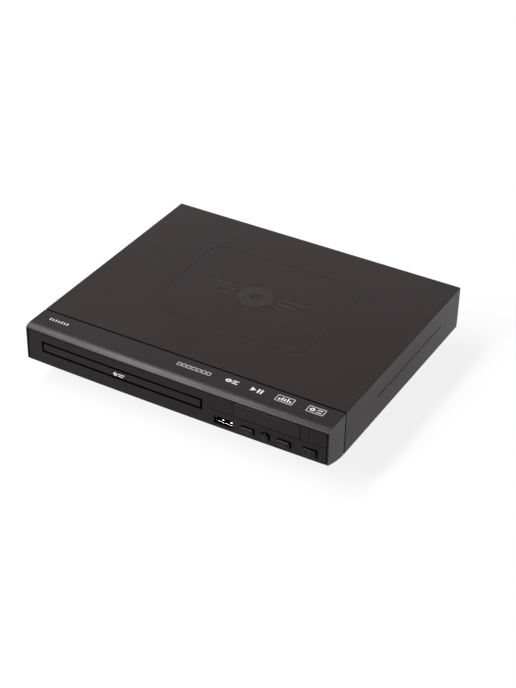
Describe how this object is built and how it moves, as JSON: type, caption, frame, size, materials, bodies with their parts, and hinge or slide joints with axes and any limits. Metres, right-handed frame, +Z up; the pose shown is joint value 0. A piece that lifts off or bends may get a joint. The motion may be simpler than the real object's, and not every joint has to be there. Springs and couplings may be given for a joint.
{
  "type": "disc player with motorised tray",
  "caption": "Slim disc player with a motorised disc tray, belt and gear loader, tilting pickup traverse, push buttons, display window and rear sockets.",
  "frame": {"origin": "on the shelf, under the middle of the player's outline", "axes": "+X along the front towards the buttons' side, +Y from the front to the back, +Z up"},
  "size_m": [0.223, 0.1913, 0.042],
  "materials": {
    "cover_plastic": "fine satin grain, dark charcoal",
    "front_plastic": "fine satin grain, darker than the cover",
    "base_steel": "satin paint on sheet steel",
    "rear_plastic": "fine grain",
    "window_plastic": "smooth smoked plastic",
    "lamp_plastic": "clear light guide",
    "foot_rubber": "matt",
    "screw_steel": "zinc plated",
    "button_plastic": "satin",
    "tray_plastic": "fine grain with a satin disc floor",
    "loader_plastic": "moulded, slightly glossy",
    "bridge_steel": "zinc coated sheet",
    "plate_steel": "zinc coated sheet",
    "pale_plastic": "natural acetal",
    "magnet": "nickel plated",
    "motor_steel": "plated can",
    "belt_rubber": "ground rubber",
    "damper_rubber": "soft blue rubber",
    "turntable_plastic": "satin",
    "rod_steel": "ground bar",
    "pickup_alloy": "die cast",
    "lens_glass": "coated lens",
    "board_laminate": "green solder mask",
    "chip_plastic": "moulded package",
    "transformer_core": "ferrite core with yellow tape",
    "capacitor_sleeve": "shrink sleeve",
    "fuse_glass": "glass tube with metal caps",
    "sink_aluminium": "extruded, bare",
    "display_glass": "sealed display unit",
    "contact_plating": "nickel plated",
    "socket_plastic": "moulded",
    "insert_plastic": "moulded"
  },
  "bodies": {
    "chassis": {"top_cover": "cover_plastic", "front_bezel": "front_plastic", "base_pan": "base_steel", "rear_panel": "rear_plastic", "display_window": "window_plastic", "power_led": "lamp_plastic", "rubber_feet": "foot_rubber", "cover_screws": "screw_steel", "rear_screws": "screw_steel", "loader_frame": "loader_plastic", "loader_screws": "screw_steel", "clamp_bridge": "bridge_steel", "loading_motor": "motor_steel", "drive_belt": "belt_rubber", "main_board": "board_laminate", "main_chip": "chip_plastic", "memory_chips": "chip_plastic", "power_board": "board_laminate", "transformer": "transformer_core", "capacitors": "capacitor_sleeve", "fuse": "fuse_glass", "heat_sink": "sink_aluminium", "front_board": "board_laminate", "display_module": "display_glass", "tact_switches": "chip_plastic", "ir_receiver": "chip_plastic", "usb_port": "contact_plating", "jack_board": "board_laminate", "phono_housings": "socket_plastic", "phono_sleeves": "contact_plating", "phono_inserts": "insert_plastic", "hdmi_socket": "contact_plating", "mains_inlet": "socket_plastic", "inlet_pins": "contact_plating", "board_screws": "screw_steel"},
    "tray": {"disc_tray": "tray_plastic", "tray_door": "front_plastic"},
    "tray_gear": {"tray_gear": "pale_plastic"},
    "pulley_gear": {"pulley_gear": "pale_plastic"},
    "motor_pulley": {"motor_pulley": "pale_plastic"},
    "cam": {"cam_slider": "pale_plastic"},
    "traverse": {"lift_frame": "loader_plastic", "rubber_dampers": "damper_rubber", "traverse_plate": "plate_steel", "damper_screws": "screw_steel", "spindle_motor": "motor_steel", "feed_motor": "motor_steel", "guide_rods": "rod_steel"},
    "turntable": {"turntable": "turntable_plastic"},
    "clamp": {"disc_clamp": "pale_plastic", "clamp_magnet": "magnet"},
    "sled": {"pickup_sled": "pickup_alloy"},
    "lens": {"lens_holder": "chip_plastic", "objective_lens": "lens_glass"},
    "lead_screw": {"lead_screw": "rod_steel"},
    "open_button": {"open_button": "button_plastic"},
    "play_button": {"play_button": "button_plastic"},
    "stop_button": {"stop_button": "button_plastic"},
    "power_button": {"power_button": "button_plastic"}
  },
  "joints": [
    {"name": "tray_slide", "type": "slide", "parent": "chassis", "child": "tray", "axis": [0, -1, 0], "range_m": [0, 0.125]},
    {"name": "tray_gear_spin", "type": "hinge", "parent": "chassis", "child": "tray_gear", "pos_m": [-0.0884, -0.072, 0.0217], "axis": [0, 0, 1], "range_deg": [0, 1025]},
    {"name": "pulley_gear_spin", "type": "hinge", "parent": "chassis", "child": "pulley_gear", "pos_m": [-0.074, -0.072, 0.0217], "axis": [0, 0, 1], "range_deg": [-2048, 0]},
    {"name": "motor_pulley_spin", "type": "hinge", "parent": "chassis", "child": "motor_pulley", "pos_m": [-0.0879, -0.0501, 0.0217], "axis": [0, 0, 1], "range_deg": [-7920, 0]},
    {"name": "traverse_tilt", "type": "hinge", "parent": "chassis", "child": "traverse", "pos_m": [-0.038, 0.0517, 0.018], "axis": [1, 0, 0], "range_deg": [0, 3.2]},
    {"name": "cam_slide", "type": "slide", "parent": "chassis", "child": "cam", "axis": [1, 0, 0], "range_m": [0, 0.014]},
    {"name": "turntable_spin", "type": "hinge", "parent": "traverse", "child": "turntable", "pos_m": [-0.038, -0.0283, 0.0312], "axis": [0, 0, 1], "continuous": true},
    {"name": "clamp_spin", "type": "hinge", "parent": "chassis", "child": "clamp", "pos_m": [-0.038, -0.0283, 0.0318], "axis": [0, 0, 1], "continuous": true},
    {"name": "sled_slide", "type": "slide", "parent": "traverse", "child": "sled", "axis": [0, 1, 0], "range_m": [0, 0.034]},
    {"name": "lead_screw_spin", "type": "hinge", "parent": "traverse", "child": "lead_screw", "pos_m": [-0.0054, -0.0141, 0.018], "axis": [0, 1, 0], "range_deg": [0, 4082]},
    {"name": "lens_focus", "type": "slide", "parent": "sled", "child": "lens", "axis": [0, 0, 1], "range_m": [-0.0005, 0.0005], "stiffness_N_per_m": 200},
    {"name": "open_press", "type": "slide", "parent": "chassis", "child": "open_button", "axis": [0, 1, 0], "range_m": [0, 0.0008], "stiffness_N_per_m": 800},
    {"name": "play_press", "type": "slide", "parent": "chassis", "child": "play_button", "axis": [0, 1, 0], "range_m": [0, 0.0008], "stiffness_N_per_m": 800},
    {"name": "stop_press", "type": "slide", "parent": "chassis", "child": "stop_button", "axis": [0, 1, 0], "range_m": [0, 0.0008], "stiffness_N_per_m": 800},
    {"name": "power_press", "type": "slide", "parent": "chassis", "child": "power_button", "axis": [0, 1, 0], "range_m": [0, 0.0008], "stiffness_N_per_m": 800}
  ],
  "couplings": [
    {"joint": "tray_gear_spin", "follows": "tray_slide", "rad_per_m": 142.86},
    {"joint": "pulley_gear_spin", "follows": "tray_slide", "rad_per_m": -285.71},
    {"joint": "motor_pulley_spin", "follows": "tray_slide", "rad_per_m": -1105.6},
    {"joint": "cam_slide", "follows": "traverse_tilt", "m_per_rad": 0.25066},
    {"joint": "clamp_spin", "follows": "turntable_spin", "ratio": 1},
    {"joint": "lead_screw_spin", "follows": "sled_slide", "rad_per_m": 2094.4}
  ]
}
